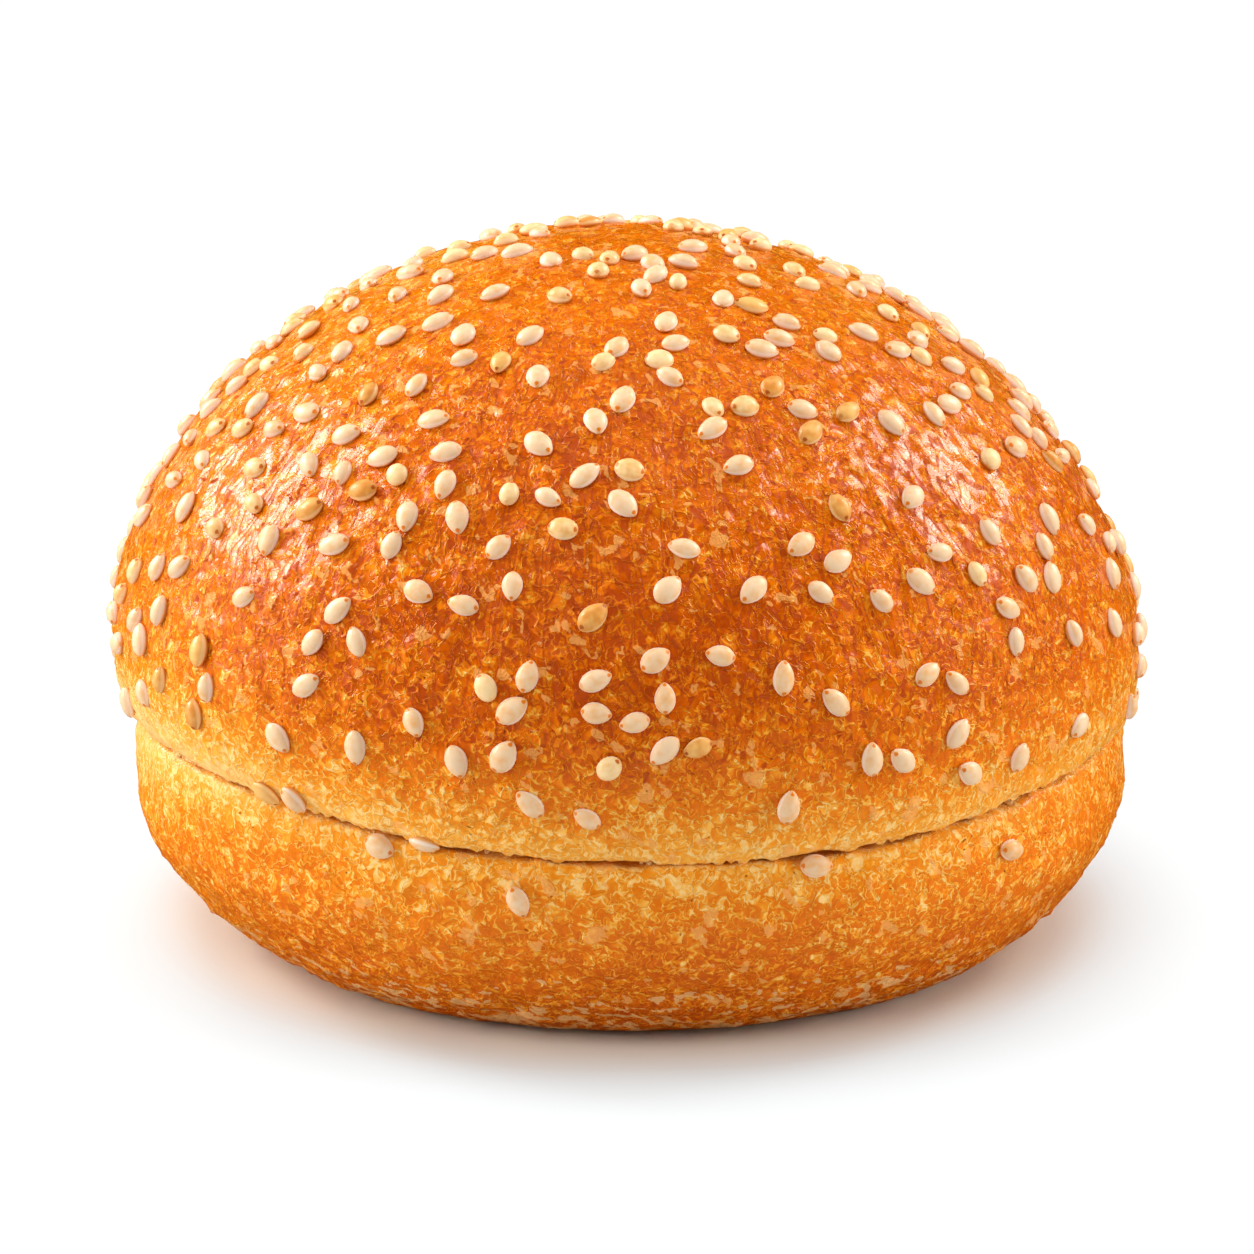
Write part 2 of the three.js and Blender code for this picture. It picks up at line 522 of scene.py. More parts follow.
CROWN_WIDEST = 1.0
LIP = 2.0
CREASE = 2.5
HEEL_EDGE = 3.0
HEEL_WIDEST = 4.0
BASE_EDGE = 5.0


@dataclass(frozen=True)
class BunForm:
    """The roll's section and unevenness in millimetres, by the same rule as its solid."""

    height: float = 67.5
    crown_radius: float = 49.8
    crown_widest_z: float = 28.8
    lip_radius: float = 47.8
    lip_z: float = 21.3
    heel_radius: float = 48.6
    heel_widest_z: float = 14.4
    base_radius: float = 35.8
    crease_mouth: float = 0.6
    crease_depth: float = 3.0
    crown_side_fullness: float = 1.95
    crown_top_fullness: float = 1.81
    lip_fullness: float = 2.26
    shoulder_fullness: float = 2.2
    heel_fullness: float = 1.46
    lean: float = 0.7
    lean_cycle: float = 1.3 * math.pi
    table_size: int = 2001
    crease_waves: tuple[Wave, ...] = (
        Wave(0.32, 1, -173 * DEGREE),
        Wave(0.27, 2, 96 * DEGREE),
        Wave(0.75, 3, -62 * DEGREE),
        Wave(0.61, 4, 164 * DEGREE),
        Wave(0.43, 5, -78 * DEGREE),
    )
    crumb_bridges: tuple[CrumbBridge, ...] = (
        CrumbBridge(8 * DEGREE, 6 * DEGREE, 0.6),
        CrumbBridge(62 * DEGREE, 5 * DEGREE, 0.8),
        CrumbBridge(131 * DEGREE, 8 * DEGREE, 0.7),
        CrumbBridge(186 * DEGREE, 9 * DEGREE, 0.75),
        CrumbBridge(210 * DEGREE, 13 * DEGREE, 0.65),
        CrumbBridge(275 * DEGREE, 3 * DEGREE, 0.7),
        CrumbBridge(318 * DEGREE, 9 * DEGREE, 0.45),
        CrumbBridge(338 * DEGREE, 9 * DEGREE, 0.6),
    )
    swellings: tuple[Wave, ...] = (
        Wave(0.3, 2, 0.7, 0.03),
        Wave(0.24, 3, 2.1, -0.05),
        Wave(0.2, 5, 4.0, 0.09),
        Wave(0.13, 9, 1.2, -0.16),
    )

    @staticmethod
    def _arc(share: np.ndarray, across: float, up: float) -> tuple[np.ndarray, np.ndarray]:
        """A quarter of a superellipse.

        Args:
            share: How far round the quarter, from 0 to 1.
            across: Its fullness across.
            up: Its fullness upwards.

        Returns:
            How far out and how far up, each from 0 to 1.
        """
        angle = np.clip(share, 0, 1) * TURN / 4
        return np.maximum(np.cos(angle), 0) ** (2 / across), np.sin(angle) ** (2 / up)

    def lip_height(self, azimuth: np.ndarray) -> np.ndarray:
        """The lip's height at each azimuth."""
        return self.lip_z + sum(w.size * np.cos(w.lobes * azimuth - w.phase) for w in self.crease_waves)

    def depth_of_crease(self, azimuth: np.ndarray) -> np.ndarray:
        """The crease's depth at each azimuth, shallow where crumb bridges it."""
        fill = np.zeros_like(azimuth)
        for bridge in self.crumb_bridges:
            away = np.arctan2(np.sin(azimuth - bridge.azimuth), np.cos(azimuth - bridge.azimuth))
            fill = np.maximum(fill, bridge.fill * np.exp(-((away / bridge.reach) ** 2)))
        return self.crease_depth * (1 - fill)

    def section(self, station: np.ndarray, azimuth: np.ndarray) -> tuple[np.ndarray, np.ndarray]:
        """The plain section.

        Args:
            station: Stations down the section.
            azimuth: Azimuths in radians.

        Returns:
            Radius and height at each.
        """
        lip = self.lip_height(azimuth)
        heel = lip - self.crease_mouth
        top_out, top_up = self._arc(CROWN_WIDEST - station, self.crown_side_fullness, self.crown_top_fullness)
        lip_out, lip_up = self._arc(station - CROWN_WIDEST, self.lip_fullness, self.lip_fullness)
        edge_out, edge_up = self._arc(HEEL_WIDEST - station, self.shoulder_fullness, self.shoulder_fullness)
        low_out, low_up = self._arc(station - HEEL_WIDEST, self.heel_fullness, self.heel_fullness)
        into_crease = self.depth_of_crease(azimuth) * np.sin((station - LIP) * TURN / 2)
        arcs = [station < CROWN_WIDEST, station < LIP, station < HEEL_EDGE, station < HEEL_WIDEST]
        radius = np.select(arcs, [
            self.crown_radius * top_out,
            self.lip_radius + (self.crown_radius - self.lip_radius) * lip_out,
            self.lip_radius - into_crease,
            self.lip_radius + (self.heel_radius - self.lip_radius) * edge_out,
        ], self.base_radius + (self.heel_radius - self.base_radius) * low_out)
        z = np.select(arcs, [
            self.crown_widest_z + (self.height - self.crown_widest_z) * top_up,
            self.crown_widest_z - (self.crown_widest_z - lip) * lip_up,
            lip - self.crease_mouth * (station - LIP),
            self.heel_widest_z + (heel - self.heel_widest_z) * edge_up,
        ], self.heel_widest_z * (1 - low_up))
        return radius, z

    def skin(self, station: np.ndarray, azimuth: np.ndarray) -> np.ndarray:
        """Points of the crust, with its swellings and lean.

        Args:
            station: Stations down the section.
            azimuth: Azimuths in radians.

        Returns:
            Points in millimetres, with the coordinates last.
        """
        station, azimuth = np.broadcast_arrays(np.asarray(station, float), np.asarray(azimuth, float))
        radius, z = self.section(station, azimuth)
        swelling = sum(w.size * np.cos(w.lobes * azimuth + w.phase + w.climb * z) for w in self.swellings)
        across = radius * (1 + swelling / self.crown_radius)
        lean = self.lean * (np.cos(self.lean_cycle * z / self.height) - 1)
        return np.stack([across * np.cos(azimuth) + lean, across * np.sin(azimuth), z], -1)

    def axes(self, station: float, azimuth: float) -> tuple[Vector, Vector, Vector]:
        """Directions at a point of the crust.

        Args:
            station: Its station.
            azimuth: Its azimuth.

        Returns:
            Unit vectors down the section, round the bun, and out of the crust.
        """
        nudge = 1e-3
        downwards = self.skin(station + nudge, azimuth) - self.skin(station - nudge, azimuth)
        sideways = self.skin(station, azimuth + nudge) - self.skin(station, azimuth - nudge)
        down = Vector(downwards).normalized()
        around = Vector(sideways).normalized()
        return down, around, down.cross(around).normalized()

    def station_at(self, z: float) -> float:
        """The crown's station at a height, which undoes the arcs of the section."""
        if z >= self.crown_widest_z:
            up = (z - self.crown_widest_z) / (self.height - self.crown_widest_z)
            return CROWN_WIDEST - math.asin(up ** (self.crown_top_fullness / 2)) / (TURN / 4)
        down = (self.crown_widest_z - z) / (self.crown_widest_z - self.lip_z)
        return CROWN_WIDEST + math.asin(down ** (self.lip_fullness / 2)) / (TURN / 4)

    def length_table(self) -> tuple[np.ndarray, np.ndarray]:
        """Stations, and the length of the section from the top down to each."""
        stations = np.linspace(0, BASE_EDGE, self.table_size)
        points = np.stack(self.section(stations, np.zeros_like(stations)), -1)
        steps = np.linalg.norm(np.diff(points, axis=0), axis=1)
        return stations, np.concatenate([[0], np.cumsum(steps)])


# Where the seeds lie

STREAM_FACTOR = 1664525
STREAM_STEP = 1013904223
STREAM_RANGE = 2 ** 32


class SeedKind(Enum):
    """The kinds of seed on the crown."""

    PALE = "seeds_pale"
    TOASTED = "seeds_toasted"
    ROUND = "seeds_round"


@dataclass(frozen=True)
class SeedPlace:
    """One seed: its place, its heading from straight down, and its size."""

    azimuth: float
    station: float
    heading: float
    size: float = 1.0


def random_stream(start: int) -> Iterator[float]:
    """A repeatable stream of numbers from 0 to 1.

    Args:
        start: The number that it starts from.

    Yields:
        The next number.
    """
    state = start
    while True:
        state = (state * STREAM_FACTOR + STREAM_STEP) % STREAM_RANGE
        yield state / STREAM_RANGE


@dataclass(frozen=True)
class SeedScatter:
    """The rule that lays the seeds: tries at random, kept where earlier seeds leave room."""

    form: BunForm
    large_count: int = 280
    small_count: int = 225
    gap: float = 3.9
    gap_spread: float = 0.45
    small_gap: float = 2.35
    size_spread: float = 0.12
    size_drop: float = 0.25
    small_size: float = 0.9
    random_start: int = 20261
    lowest_z: float = 22.0
    highest_z: float = 67.3
    sparsest: float = 0.2
    density_curve: float = 0.8
    dense_from_z: float = 60.0
    heading_spread: float = 0.9
    strays: tuple[SeedPlace, ...] = (
        SeedPlace(258.5 * DEGREE, 3.77, 20 * DEGREE),
        SeedPlace(315.5 * DEGREE, 3.75, 75 * DEGREE),
        SeedPlace(290.2 * DEGREE, 3.3, 80 * DEGREE),
        SeedPlace(243 * DEGREE, 3.32, 70 * DEGREE),
        SeedPlace(248.3 * DEGREE, 1.9, 85 * DEGREE),
        SeedPlace(233 * DEGREE, 1.58, 30 * DEGREE),
        SeedPlace(229 * DEGREE, 1.65, 40 * DEGREE),
        SeedPlace(97 * DEGREE, 4.1, 50 * DEGREE),
    )

    def density(self, z: float) -> float:
        """How thickly seeds lie at a height, from the sparse flank to 1 on the top."""
        rise = min(max((z - self.form.lip_z) / (self.dense_from_z - self.form.lip_z), 0), 1)
        return self.sparsest + (1 - self.sparsest) * rise ** self.density_curve

    def places(self) -> list[SeedPlace]:
        """Every seed's place, with the solid's own seeds first."""
        draw = random_stream(self.random_start)
        places = list(self.strays)
        points = [self.form.skin(p.station, p.azimuth) for p in places]
        total = self.large_count + self.small_count
        while len(places) < total:
            large = len(places) < self.large_count
            z = self.lowest_z + (self.highest_z - self.lowest_z) * next(draw)
            azimuth = TURN * next(draw)
            chance = next(draw)
            room = 1 + self.gap_spread * (2 * next(draw) - 1)
            heading = self.heading_spread * TURN / 2 * (next(draw) - MIDDLE)
            heading += 0 if next(draw) < MIDDLE else TURN / 2
            size = (1 if large else self.small_size) + self.size_spread * (next(draw) - self.size_drop)
            station = self.form.station_at(z)
            point = self.form.skin(station, azimuth)
            density = self.density(z)
            gap = self.gap * room / math.sqrt(density) if large else self.small_gap
            nearest = np.linalg.norm(np.array(points) - point, axis=1).min()
            if chance < density and nearest > gap:
                places.append(SeedPlace(azimuth, station, heading, size))
                points.append(point)
        return places


# The crust

@dataclass(frozen=True)
class SkinMarks:
    """The crust's fine marks at a point, from 0 to 1, its grain about 0, and the slopes of its cells."""

    grain: Signal
    petals: Signal
    petal_slope: Signal
    scales: Signal
    scale_slope: Signal
    rings: Signal
    curls: Signal
    fine_curls: Signal
    plates: Signal
    grooves: Signal
    slots: Signal
    pores: Signal
    flakes: Signal
    flour: Signal


@dataclass(frozen=True)
class CrustPatterns:
    """The crust's marks, read from places in millimetres, for its relief and its colour alike.

    A value per mm says how many features a millimetre holds. A span says where a smooth step is 0
    and where it is 1, for cells by their own random number.
    """

    bend_per_mm: float = 0.8
    bend: float = 1.5
    grain_per_mm: float = 3.2
    raggedness: float = 0.06
    petal_per_mm: float = 0.8
    scale_per_mm: float = 1.7
    fold: Span = (-0.15, 0.5)
    fold_cells: Span = (0.1, 0.7)
    ring_radius: float = 0.32
    ring_width: float = 0.08
    patch_per_mm: float = 0.8
    ring_patches: Span = (0.52, 0.46)
    curl_per_mm: float = 0.75
    curl_patches: Span = (0.46, 0.52)
    fine_curl_per_mm: float = 1.4
    fine_curl_patches: Span = (0.54, 0.48)
    curl_width: float = 0.05
    plate_per_mm: float = 0.34
    plate_twist: float = 0.8
    plate_layers: float = 7.0
    groove: Span = (0.34, 0.24)
    slot: Span = (0.27, 0.16)
    slot_cells: Span = (0.55, 0.5)
    pore: Span = (0.22, 0.1)
    pore_cells: Span = (0.955, 0.96)
    blister_per_mm: float = 0.3
    blister: Span = (0.26, 0.1)
    blister_cells: Span = (0.62, 0.72)
    flake_per_mm: float = 0.6
    flake_twist: float = 0.8
    flake: Span = (0.605, 0.625)
    flour_per_mm: float = 1.05
    flour_twist: float = 0.9
    flour_stretch: Triple = (0.6, 0.6, 1.5)
    flour: Span = (0.815, 0.835)

    def patches(self, nodes: Nodes, rest: Signal) -> Signal:
        """The soft noise that parts the kinds of curl into patches."""
        return nodes.noise(rest, self.patch_per_mm, 1.0)

    def layers(self, nodes: Nodes, flow: Signal) -> Signal:
        """The layers of thin glazed skin that run down the crown, read from places drawn out down it."""
        return nodes.noise(flow, self.plate_per_mm, 0.0, self.plate_twist) * self.plate_layers

    def blisters(self, nodes: Nodes, rest: Signal) -> Signal:
        """Round blisters, in about a third of the cells."""
        distance, draw, _ = nodes.cells(rest, self.blister_per_mm)
        return distance.step(*self.blister) * draw.step(*self.blister_cells)

    def flakiness(self, nodes: Nodes, rest: Signal) -> Signal:
        """The soft noise that ragged pale flakes of skin are cut from."""
        return nodes.noise(rest, self.flake_per_mm, 3.0, self.flake_twist)

    def flouriness(self, nodes: Nodes, rest: Signal) -> Signal:
        """The soft noise that floury scuffs are cut from, long round the bun."""
        return nodes.noise(rest * self.flour_stretch, self.flour_per_mm, 2.0, self.flour_twist)

    def read(self, nodes: "ShaderNodes") -> SkinMarks:
        """Reads the fine marks from the crust's own attributes.

        Args:
            nodes: The finish's tree.

        Returns:
            The marks at the shaded point.
        """
        rest = nodes.attribute("rest", "Vector")
        curly = nodes.attribute("curly")
        patches = nodes.attribute("broken")
        plates = nodes.attribute("layers").fraction()
        bent = nodes.warp(rest, self.bend_per_mm, self.bend)
        petal_distance, petal_draw, petal_slope = nodes.cells(bent, self.petal_per_mm)
        scale_distance, scale_draw, scale_slope = nodes.cells(bent, self.scale_per_mm)
        rings = abs(petal_distance - self.ring_radius).step(self.ring_width, 0.0)
        curls = nodes.thread(bent, self.curl_per_mm, self.curl_width)
        fine_curls = nodes.thread(bent, self.fine_curl_per_mm, self.curl_width)
        slots = petal_distance.step(*self.slot) * petal_draw.step(*self.slot_cells)
        grain = nodes.noise(rest, self.grain_per_mm, 0.0) - MIDDLE
        ragged = grain * self.raggedness
        return SkinMarks(
            grain=grain,
            petals=petal_slope.step(*self.fold) * petal_draw.step(*self.fold_cells) * curly,
            petal_slope=petal_slope,
            scales=scale_slope.step(*self.fold) * scale_draw.step(*self.fold_cells) * curly,
            scale_slope=scale_slope,
            rings=rings * patches.step(*self.ring_patches) * curly,
            curls=curls * patches.step(*self.curl_patches) * curly,
            fine_curls=fine_curls * patches.step(*self.fine_curl_patches) * curly,
            plates=plates,
            grooves=plates.step(*self.groove),
            slots=slots * nodes.attribute("plated"),
            pores=scale_distance.step(*self.pore) * scale_draw.step(*self.pore_cells) * curly,
            flakes=(nodes.attribute("flaky") + ragged).step(*self.flake),
            flour=(nodes.attribute("floury") + ragged).step(*self.flour),
        )


@dataclass(frozen=True)
class Mark:
    """How one kind of mark shows: how much paler than the crust it is, and how high in millimetres."""

    paler: float
    height: float


@dataclass(frozen=True)
class BakedCrust:
    """The finish of the crust, from pale crumb at the crease to deep orange under the glaze."""

    patterns: CrustPatterns
    browning: tuple[tuple[float, Colour], ...] = (
        (0.0, srgb(253, 204, 124)),
        (0.2, srgb(250, 178, 68)),
        (0.4, srgb(241, 148, 26)),
        (0.6, srgb(231, 118, 2)),
        (0.8, srgb(214, 97, 0)),
        (1.0, srgb(182, 68, 0)),
    )
    deeper: float = 0.15
    petal: Mark = Mark(0.34, 0.24)
    scale: Mark = Mark(0.28, 0.11)
    ring: Mark = Mark(0.25, 0.07)
    curl: Mark = Mark(0.42, 0.12)
    fine_curl: Mark = Mark(0.36, 0.08)
    grain_shade: float = 0.15
    slot_shade: float = 0.6
    groove_shade: float = 0.2
    groove_share: float = 0.4
    flake: Colour = srgb(244, 166, 84)
    flake_cover: float = 0.7
    flour: Colour = srgb(238, 182, 116)
    flour_cover: float = 0.75
    pore: Colour = srgb(120, 44, 4)
    pore_cover: float = 0.75
    pore_depth: float = 0.15
    plate_height: float = 0.07
    matt_relief: float = 0.35
    roughness: float = 0.34
    glazed_smoothness: float = 0.14
    grain_roughness: float = 0.1
    slot_roughness: float = 0.5
    groove_roughness: float = 0.25
    refraction: float = 1.45
    specular: float = 0.22
    glaze: float = 0.6
    glaze_roughness: float = 0.14
    glaze_refraction: float = 1.4
    dull_grooves: float = 0.9
    dull_flakes: float = 0.6

    def _colour(self, nodes: ShaderNodes, marks: SkinMarks) -> Signal:
        """The crust's colour, from how brown it is and from its marks."""
        tone = nodes.attribute("browning") + self.deeper + marks.grain * self.grain_shade
        tone = tone - marks.petals * self.petal.paler - marks.scales * self.scale.paler
        tone = tone - marks.rings * self.ring.paler
        tone = tone - marks.curls * self.curl.paler - marks.fine_curls * self.fine_curl.paler
        tone = tone + marks.slots * self.slot_shade
        grooves = marks.grooves - self.groove_share
        tone = tone + grooves * nodes.attribute("plated") * self.groove_shade
        colour = nodes.add("ShaderNodeValToRGB", {"stops": self.browning}, {"Fac": tone})
        colour = nodes.mix(marks.flakes * self.flake_cover, colour, self.flake)
        colour = nodes.mix(marks.flour * self.flour_cover, colour, self.flour)
        return nodes.mix(marks.pores * self.pore_cover, colour, self.pore)

    def _height(self, nodes: ShaderNodes, marks: SkinMarks) -> Signal:
        """The height of the fine relief in millimetres, fullest where the crust is glossy."""
        cells = marks.petal_slope * self.petal.height + marks.scale_slope * self.scale.height
        height = (cells + marks.rings * self.ring.height) * nodes.attribute("curly")
        height = height + marks.curls * self.curl.height + marks.fine_curls * self.fine_curl.height
        height = height + marks.plates * nodes.attribute("plated") * self.plate_height
        fullness = nodes.attribute("gloss") * (1 - self.matt_relief) + self.matt_relief
        return (height - marks.pores * self.pore_depth) * fullness

    def _roughness(self, nodes: ShaderNodes, marks: SkinMarks, glazed: Signal) -> Signal:
        """How rough the crust is under its glaze."""
        rough = self.roughness - glazed * self.glazed_smoothness + marks.grain * self.grain_roughness
        rough = rough + marks.slots * self.slot_roughness
        return rough + marks.grooves * nodes.attribute("plated") * self.groove_roughness

    def make(self) -> bpy.types.Material:
        """Builds the material."""
        nodes = ShaderNodes("baked_crust")
        marks = self.patterns.read(nodes)
        glazed = nodes.attribute("gloss") * (1 - marks.flour) * (1 - marks.flakes * self.dull_flakes)
        whole = (1 - marks.slots) * (1 - marks.grooves * self.dull_grooves)
        whole = whole * (1 - marks.curls.larger(marks.fine_curls))
        return nodes.surface({
            "Base Color": self._colour(nodes, marks),
            "Roughness": self._roughness(nodes, marks, glazed),
            "IOR": self.refraction,
            "Specular IOR Level": self.specular,
            "Coat Weight": glazed * whole * self.glaze,
            "Coat Roughness": self.glaze_roughness,
            "Coat IOR": self.glaze_refraction,
            "Normal": nodes.bump(self._height(nodes, marks)),
        })


@dataclass(frozen=True)
class RaggedEdge:
    """The torn edge of the crown's lip: waves that hang down as small teeth."""

    tooth: float = 0.2
    longest: float = 0.45
    lobes: tuple[int, ...] = (23, 37, 53, 71, 89, 107, 127, 149, 167)
    reach: float = 0.09
    random_start: int = 7

    def drop(self, azimuth: np.ndarray) -> np.ndarray:
        """How far the edge hangs at each azimuth, in millimetres."""
        draw = random_stream(self.random_start)
        waves = sum(self.tooth * np.cos(n * azimuth + TURN * next(draw)) for n in self.lobes)
        return self.longest * np.tanh((np.abs(waves) - self.tooth) / self.longest)

    def share(self, station: float) -> float:
        """How much of the drop a station takes, most at the lip itself."""
        return max(1 - abs(station - LIP) / self.reach, 0.0) ** 2


@dataclass(frozen=True)
class Profile:
    """A value that changes with height, in straight lines between the given heights in millimetres."""

    heights: tuple[float, ...]
    values: tuple[float, ...]

    def at(self, heights: np.ndarray) -> np.ndarray:
        """The value at each height."""
        return np.interp(heights, self.heights, self.values)


@dataclass(frozen=True)
class Baking:
    """How the crust changes with its height above or below the lip, and round the bun, where painted light
    makes the flanks that face the side lamps paler.
    """

    crown_browning: Profile = Profile((0, 2, 6, 11, 20, 36, 47), (0.16, 0.32, 0.58, 0.8, 0.86, 0.8, 0.62))
    heel_browning: Profile = Profile((0.9, 4, 8, 13, 20), (0.34, 0.5, 0.64, 0.74, 0.84))
    crumb_browning: float = 0.12
    # The middles of the left and right flanks, where the side lamps fall and the crust is painted paler as
    # painted light.
    left: float = 172 * DEGREE
    right: float = 8 * DEGREE
    side_falloff: float = 1.5
    # How much paler the lamp-lit flanks are painted: painted light, fading to nothing towards the top's
    # middle.
    crown_left_painted_light: float = 0.28
    crown_right_painted_light: float = 0.16
    heel_left_painted_light: float = 0.1
    heel_paler: float = 0.04
    full_paler_radius: float = 25.0
    crease_reach: float = 5.5
    crease_left_paler: float = 0.2
    crease_right_browner: float = 0.16
    crown_gloss: Profile = Profile((0, 6, 14, 28), (0.1, 0.4, 0.8, 1))
    heel_gloss: float = 0.12
    crown_curls: Profile = Profile((0, 4, 20, 40), (0.8, 1, 0.85, 0.75))
    crown_plates: Profile = Profile((0, 8, 20, 36, 47), (0.05, 0.3, 1, 0.9, 0.4))
    heel_plates: float = 0.1
    heel_flour: Profile = Profile((0, 3, 7, 12), (1, 0.95, 0.75, 0))
    plates_spread: float = 18.0
    plates_squeeze: float = 0.36
    crease_margin: float = 0.02
    plain_crease: float = 0.3
    plain_foot: float = 1.5

    def _side(self, azimuth: np.ndarray, middle: float) -> np.ndarray:
        """How far a place is on one side of the bun, from 0 to 1 at the middle of that side."""
        return np.clip(np.cos(azimuth - middle), 0, 1) ** self.side_falloff

    def _browning(self, crown: np.ndarray, rise: np.ndarray, azimuth: np.ndarray,
                  radius: np.ndarray) -> np.ndarray:
        """How brown the outer crust is, less brown on the flanks that face the side lamps as painted light.
            rise: Its height above the lip.
            azimuth: Its azimuth.
            radius: Its distance from the middle.

        Returns:
            Browning, from about 0 at pale crumb to 1.
        """
        # Painted light: the flanks that face the left and right lamps are made paler; the heel is also a
        # little paler all round.
        left = self._side(azimuth, self.left)
        right = self._side(azimuth, self.right)
        crown_painted_light = self.crown_left_painted_light * left + self.crown_right_painted_light * right
        paler = np.where(crown, crown_painted_light, self.heel_left_painted_light * left + self.heel_paler)
        paler = paler * np.clip(radius / self.full_paler_radius, 0, 1)
        near_crease = np.exp(-((np.abs(rise) / self.crease_reach) ** 2))
        crease_paler = self.crease_left_paler * left - self.crease_right_browner * right
        even = np.where(crown, self.crown_browning.at(rise), self.heel_browning.at(-rise))
        return even - paler - near_crease * crease_paler

    def attributes(self, form: BunForm, station: np.ndarray, azimuth: np.ndarray,
                   points: np.ndarray) -> dict[str, np.ndarray]:
        """What the finish and the relief read at each point.

        Args:
            form: The bun's form.
            station: Each point's station.
            azimuth: Each point's azimuth.
            points: The points.

        Returns:
            Arrays by attribute name.
        """
        stations, lengths = form.length_table()
        along = np.interp(station, stations, lengths)
        z = points[:, 2]
        rise = z - form.lip_height(azimuth)
        radius = np.hypot(points[:, 0], points[:, 1])
        spread = form.crown_radius * np.sqrt(1 - np.exp(-((radius / self.plates_spread) ** 2)))
        across = [spread * np.cos(azimuth), spread * np.sin(azimuth)]
        crown = station <= LIP
        inside = (station > LIP + self.crease_margin) & (station < HEEL_EDGE - self.crease_margin)
        browning = self._browning(crown, rise, azimuth, radius)
        outside = np.clip(np.abs(station - CREASE) / self.plain_crease, 0, 1)
        return {
            "rest": points,
            "flow": np.stack([*across, along * self.plates_squeeze], -1),
            "browning": np.where(inside, self.crumb_browning, browning),
            "gloss": np.where(crown, self.crown_gloss.at(rise), self.heel_gloss),
            "curly": np.where(crown, self.crown_curls.at(rise), 1),
            "plated": np.where(crown, self.crown_plates.at(rise), self.heel_plates),
            "low": np.where(crown, 0, self.heel_flour.at(z)),
            "relief": outside * np.clip(z / self.plain_foot, 0, 1),
        }


@dataclass(frozen=True)
class Ring:
    """One ring of a shell: its station, and the azimuths and places of its points."""

    station: float
    azimuths: np.ndarray
    points: np.ndarray

    def drawn_in(self, share: float) -> "Ring":
        """The ring drawn in about its centre, down to a single point where the share is 0."""
        centre = np.array([0, 0, self.points[:, 2].mean()])
        points = centre + (self.points - centre) * share
        kept = len(points) if share > 0 else 1
        return Ring(self.station, self.azimuths[:kept], points[:kept])


